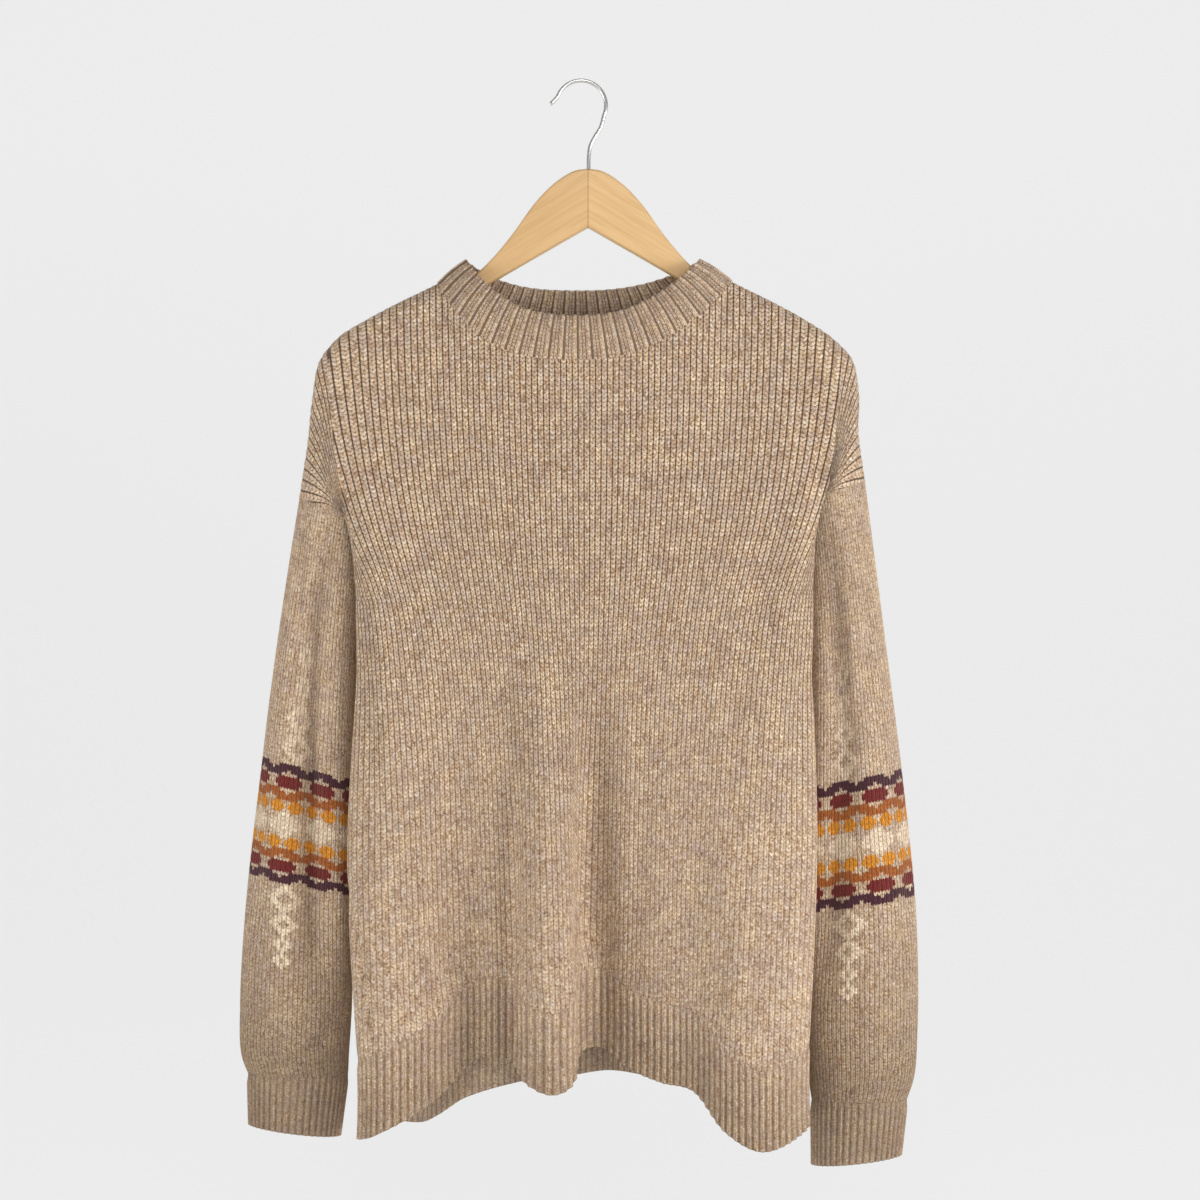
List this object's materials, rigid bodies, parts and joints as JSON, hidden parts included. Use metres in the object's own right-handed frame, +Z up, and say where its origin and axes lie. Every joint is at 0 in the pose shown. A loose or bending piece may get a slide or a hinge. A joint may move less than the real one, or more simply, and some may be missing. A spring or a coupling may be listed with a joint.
{
  "type": "jacquard sweater on a wooden hanger",
  "caption": "Crew neck knit sweater with dropped shoulders and patterned sleeve bands, hung on a flat wooden hanger by its wire hook.",
  "frame": {"origin": "the underside of the hook's top, where it rests on what holds it up", "axes": "+X to the right seen from the front, the garment's front faces -Y, +Z up"},
  "size_m": [0.5373, 0.1002, 0.8582],
  "materials": {
    "body_knit": "brushed marled half-cardigan knit",
    "sleeve_knit": "brushed heather plain knit with a coloured band",
    "rib_knit": "brushed rib knit",
    "hanger_maple": "satin",
    "hook_steel": "polished"
  },
  "bodies": {
    "root": {"front_panel": "body_knit", "back_panel": "body_knit", "sleeve_left": "sleeve_knit", "sleeve_right": "sleeve_knit", "neckband": "rib_knit", "hem_rib_front": "rib_knit", "hem_rib_back": "rib_knit", "cuff_left": "rib_knit", "cuff_right": "rib_knit", "hanger_wood": "hanger_maple", "hook": "hook_steel"}
  },
  "joints": []
}
